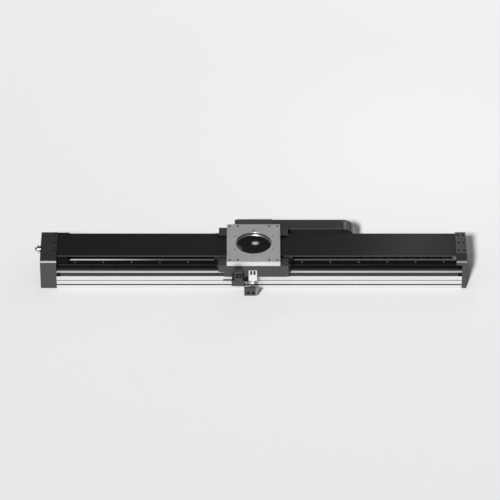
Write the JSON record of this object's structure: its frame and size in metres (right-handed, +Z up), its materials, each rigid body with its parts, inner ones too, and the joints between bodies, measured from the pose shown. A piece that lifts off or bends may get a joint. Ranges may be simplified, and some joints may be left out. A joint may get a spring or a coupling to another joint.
{
  "type": "direct-drive linear motor stage",
  "caption": "Covered linear motor stage: a payload plate with a round bore rides over a long grooved base on two guide rails, fed by a cable chain behind.",
  "frame": {"origin": "centre of the base's underside, below the carriage at mid travel", "axes": "+X along the travel towards the cover clamp, +Y towards the cable chain, +Z up"},
  "size_m": [0.914, 0.1969, 0.086],
  "materials": {
    "silver_aluminium": "clear anodised, fine matt",
    "dark_anodised": "dark grey anodised, fine grain",
    "black_sheet": "satin black coat",
    "dark_rail_steel": "black chromed, ground",
    "scale_tape": "graduated steel tape, matt",
    "screw_steel": "black oxide",
    "magnet_epoxy": "sintered magnet under black epoxy",
    "runner_steel": "black chromed, ground",
    "black_plastic": "matt black",
    "chain_plastic": "matt black polyamide",
    "gloss_black": "gloss black",
    "white_plastic": "matt white",
    "grey_plastic": "matt grey",
    "rubber": "matt",
    "forcer_resin": "filled casting resin",
    "nickel": "bright nickel",
    "lead_jacket": "dark red-brown jacket",
    "contact_black": "unlit contact chambers, black",
    "coated_sheet": "black coat"
  },
  "bodies": {
    "base": {"base_extrusion": "silver_aluminium", "front_guide_rail": "dark_rail_steel", "rear_guide_rail": "dark_rail_steel", "front_rail_screws": "screw_steel", "rear_rail_screws": "screw_steel", "front_clamp_strip": "dark_anodised", "rear_clamp_strip": "dark_anodised", "front_clamp_screws": "screw_steel", "rear_clamp_screws": "screw_steel", "encoder_scale": "scale_tape", "magnet_yoke": "dark_rail_steel", "magnets": "magnet_epoxy", "yoke_screws": "screw_steel", "left_end_plate": "dark_anodised", "right_end_plate": "dark_anodised", "right_plate_screws": "screw_steel", "connector_housing": "dark_anodised", "round_socket_shell": "nickel", "round_socket_insert": "nickel", "cover_clamp": "dark_anodised", "cover_strip": "black_sheet", "left_stop_block": "black_plastic", "left_bumpers": "rubber", "right_bumpers": "rubber", "right_stop_posts": "screw_steel", "front_groove_strip": "grey_plastic", "rear_groove_strip": "grey_plastic", "groove_end_plugs": "black_plastic", "front_slot_seals": "black_plastic", "rear_slot_seals": "black_plastic", "chain_tray": "coated_sheet", "tray_rivets": "screw_steel", "chain_fixed_bracket": "chain_plastic", "chain_lower_run": "chain_plastic"},
    "carriage": {"saddle_plate": "dark_anodised", "runner_screws": "screw_steel", "front_beam": "dark_anodised", "rear_beam": "dark_anodised", "payload_plate": "silver_aluminium", "bore_cover": "gloss_black", "runner_block_front_left": "runner_steel", "runner_block_front_right": "runner_steel", "runner_block_rear_left": "runner_steel", "runner_block_rear_right": "runner_steel", "runner_end_seals": "black_plastic", "forcer": "forcer_resin", "encoder_read_head": "black_plastic", "chain_moving_bracket": "coated_sheet", "chain_bracket_screws": "screw_steel", "chain_upper_run": "chain_plastic", "signal_socket": "black_plastic", "socket_screws": "screw_steel", "power_plug": "white_plastic", "lower_plug": "black_plastic", "plug_latch": "grey_plastic", "plug_contacts": "contact_black", "plug_leads": "lead_jacket"},
    "chain_loop": {"chain_bend": "chain_plastic"}
  },
  "joints": [
    {"name": "carriage_slide", "type": "slide", "parent": "base", "child": "carriage", "axis": [1, 0, 0], "range_m": [-0.3, 0.3], "deforming": ["chain_upper_run", "chain_lower_run"]},
    {"name": "chain_loop_slide", "type": "slide", "parent": "base", "child": "chain_loop", "axis": [1, 0, 0], "range_m": [-0.15, 0.15]}
  ],
  "couplings": [
    {"joint": "chain_loop_slide", "follows": "carriage_slide", "ratio": 0.5}
  ]
}
